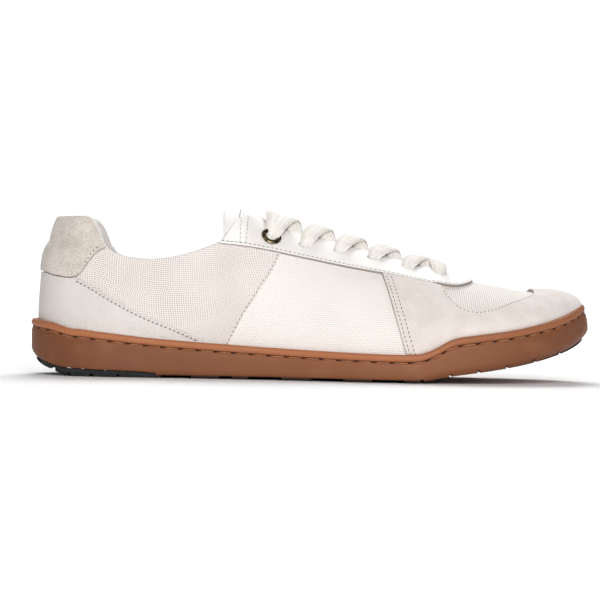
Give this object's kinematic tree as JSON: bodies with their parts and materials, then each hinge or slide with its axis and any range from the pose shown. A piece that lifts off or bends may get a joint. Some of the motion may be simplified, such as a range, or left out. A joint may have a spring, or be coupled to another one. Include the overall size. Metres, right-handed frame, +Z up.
{
  "type": "barefoot shoe",
  "caption": "Low lace-up barefoot trainer for the right foot: wide toe, thin flat gum cup sole, mesh upper with suede and leather overlays.",
  "frame": {"origin": "on the floor under the middle of the sole's outline, with the shoe standing on its heel and ball", "axes": "+X towards the toe, +Y towards the inner (medial) side, +Z up"},
  "size_m": [0.286, 0.1024, 0.0853],
  "materials": {
    "gum_rubber": "smooth, with a stitched groove",
    "slate_rubber": "matt",
    "white_mesh": "woven mesh",
    "white_leather": "smooth, slightly glossy",
    "pale_suede": "napped suede",
    "cotton_lace": "flat woven lace",
    "insole_foam": "cloth over foam",
    "aged_brass": "dark antique"
  },
  "bodies": {
    "root": {"cupsole": "gum_rubber", "heel_tread": "slate_rubber", "insole": "insole_foam", "upper": "white_mesh", "tongue": "white_mesh", "eyestay": "white_leather", "toe_guard": "pale_suede", "heel_counter": "white_leather", "heel_tab": "pale_suede", "eyelet_lateral": "aged_brass", "eyelet_medial": "aged_brass", "lace_1": "cotton_lace", "lace_2": "cotton_lace", "lace_3": "cotton_lace", "lace_4": "cotton_lace", "lace_5": "cotton_lace"}
  },
  "joints": []
}
